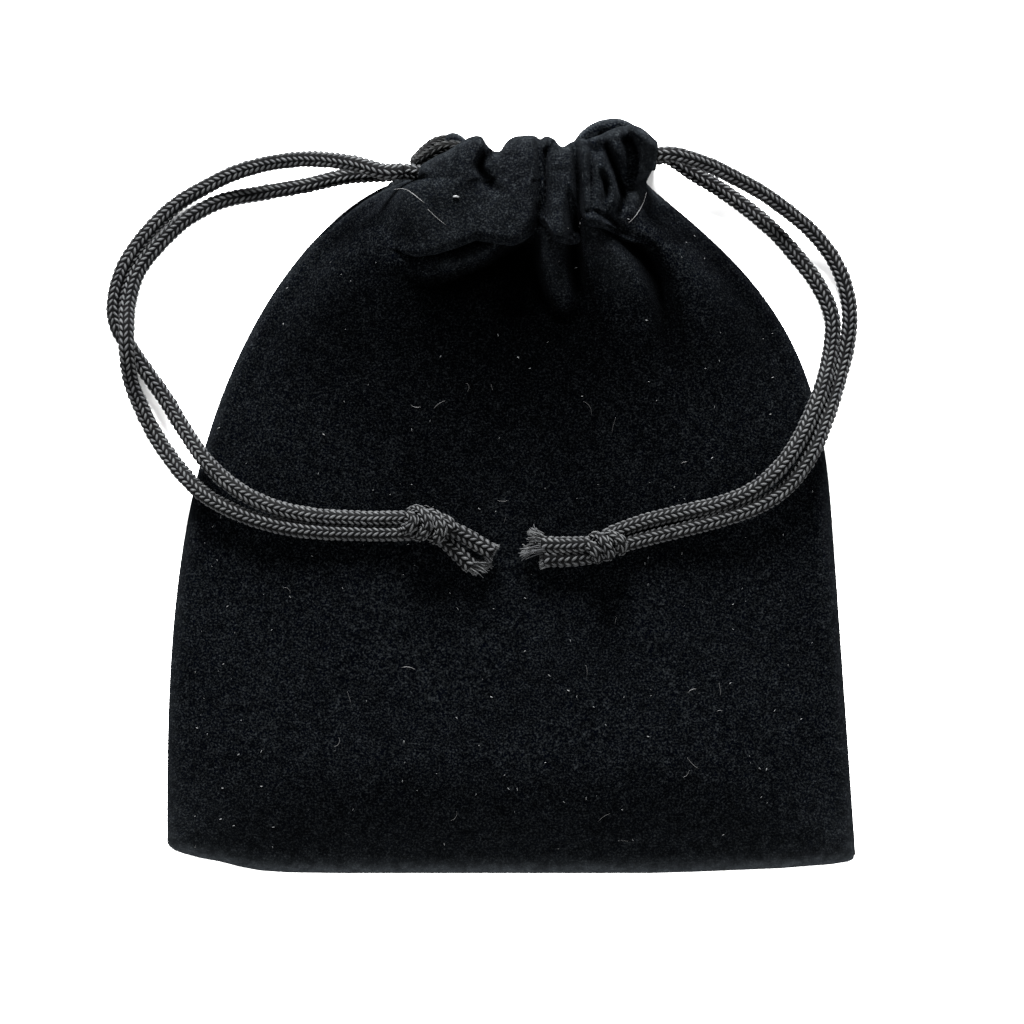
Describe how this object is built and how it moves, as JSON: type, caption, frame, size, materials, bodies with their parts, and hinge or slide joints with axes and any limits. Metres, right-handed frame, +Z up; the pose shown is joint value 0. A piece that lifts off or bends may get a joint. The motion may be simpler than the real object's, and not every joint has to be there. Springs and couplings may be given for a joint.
{
  "type": "drawstring dice bag",
  "caption": "Flat velvet drawstring pouch for dice, its mouth gathered in a sewn casing by knotted drawcords that pull out at the sides.",
  "frame": {"origin": "under the middle of the bag as it lies flat on its back, on the surface that it lies on, measured without the free cords", "axes": "+Z up out of the front panel, +Y towards the drawn-in mouth, +X to the right as the front is seen"},
  "size_m": [0.1086, 0.1094, 0.0151],
  "materials": {
    "velvet": "black cotton velveteen, short dense pile with a soft sheen at grazing angles",
    "cord": "knitted polyester cord, charcoal black, round, with a slight gloss on its wales",
    "thread": "black polyester sewing thread"
  },
  "bodies": {
    "bag": {"front_panel": "velvet", "back_panel": "velvet", "left_side_seam": "velvet", "right_side_seam": "velvet", "bottom_seam": "velvet", "front_casing": "velvet", "back_casing": "velvet", "front_casing_stitches": "thread", "back_casing_stitches": "thread", "left_cord_bight": "cord", "right_cord_bight": "cord"},
    "left_cord": {"left_cord_runs": "cord", "left_front_strand": "cord", "left_back_strand": "cord", "left_knot": "cord", "left_front_tail": "cord", "left_back_tail": "cord"},
    "right_cord": {"right_cord_runs": "cord", "right_front_strand": "cord", "right_back_strand": "cord", "right_knot": "cord", "right_front_tail": "cord", "right_back_tail": "cord"}
  },
  "joints": [
    {"name": "left_cord_pull", "type": "slide", "parent": "bag", "child": "left_cord", "axis": [-1, 0, 0], "range_m": [0, 0.012]},
    {"name": "right_cord_pull", "type": "slide", "parent": "bag", "child": "right_cord", "axis": [1, 0, 0], "range_m": [0, 0.012]}
  ]
}
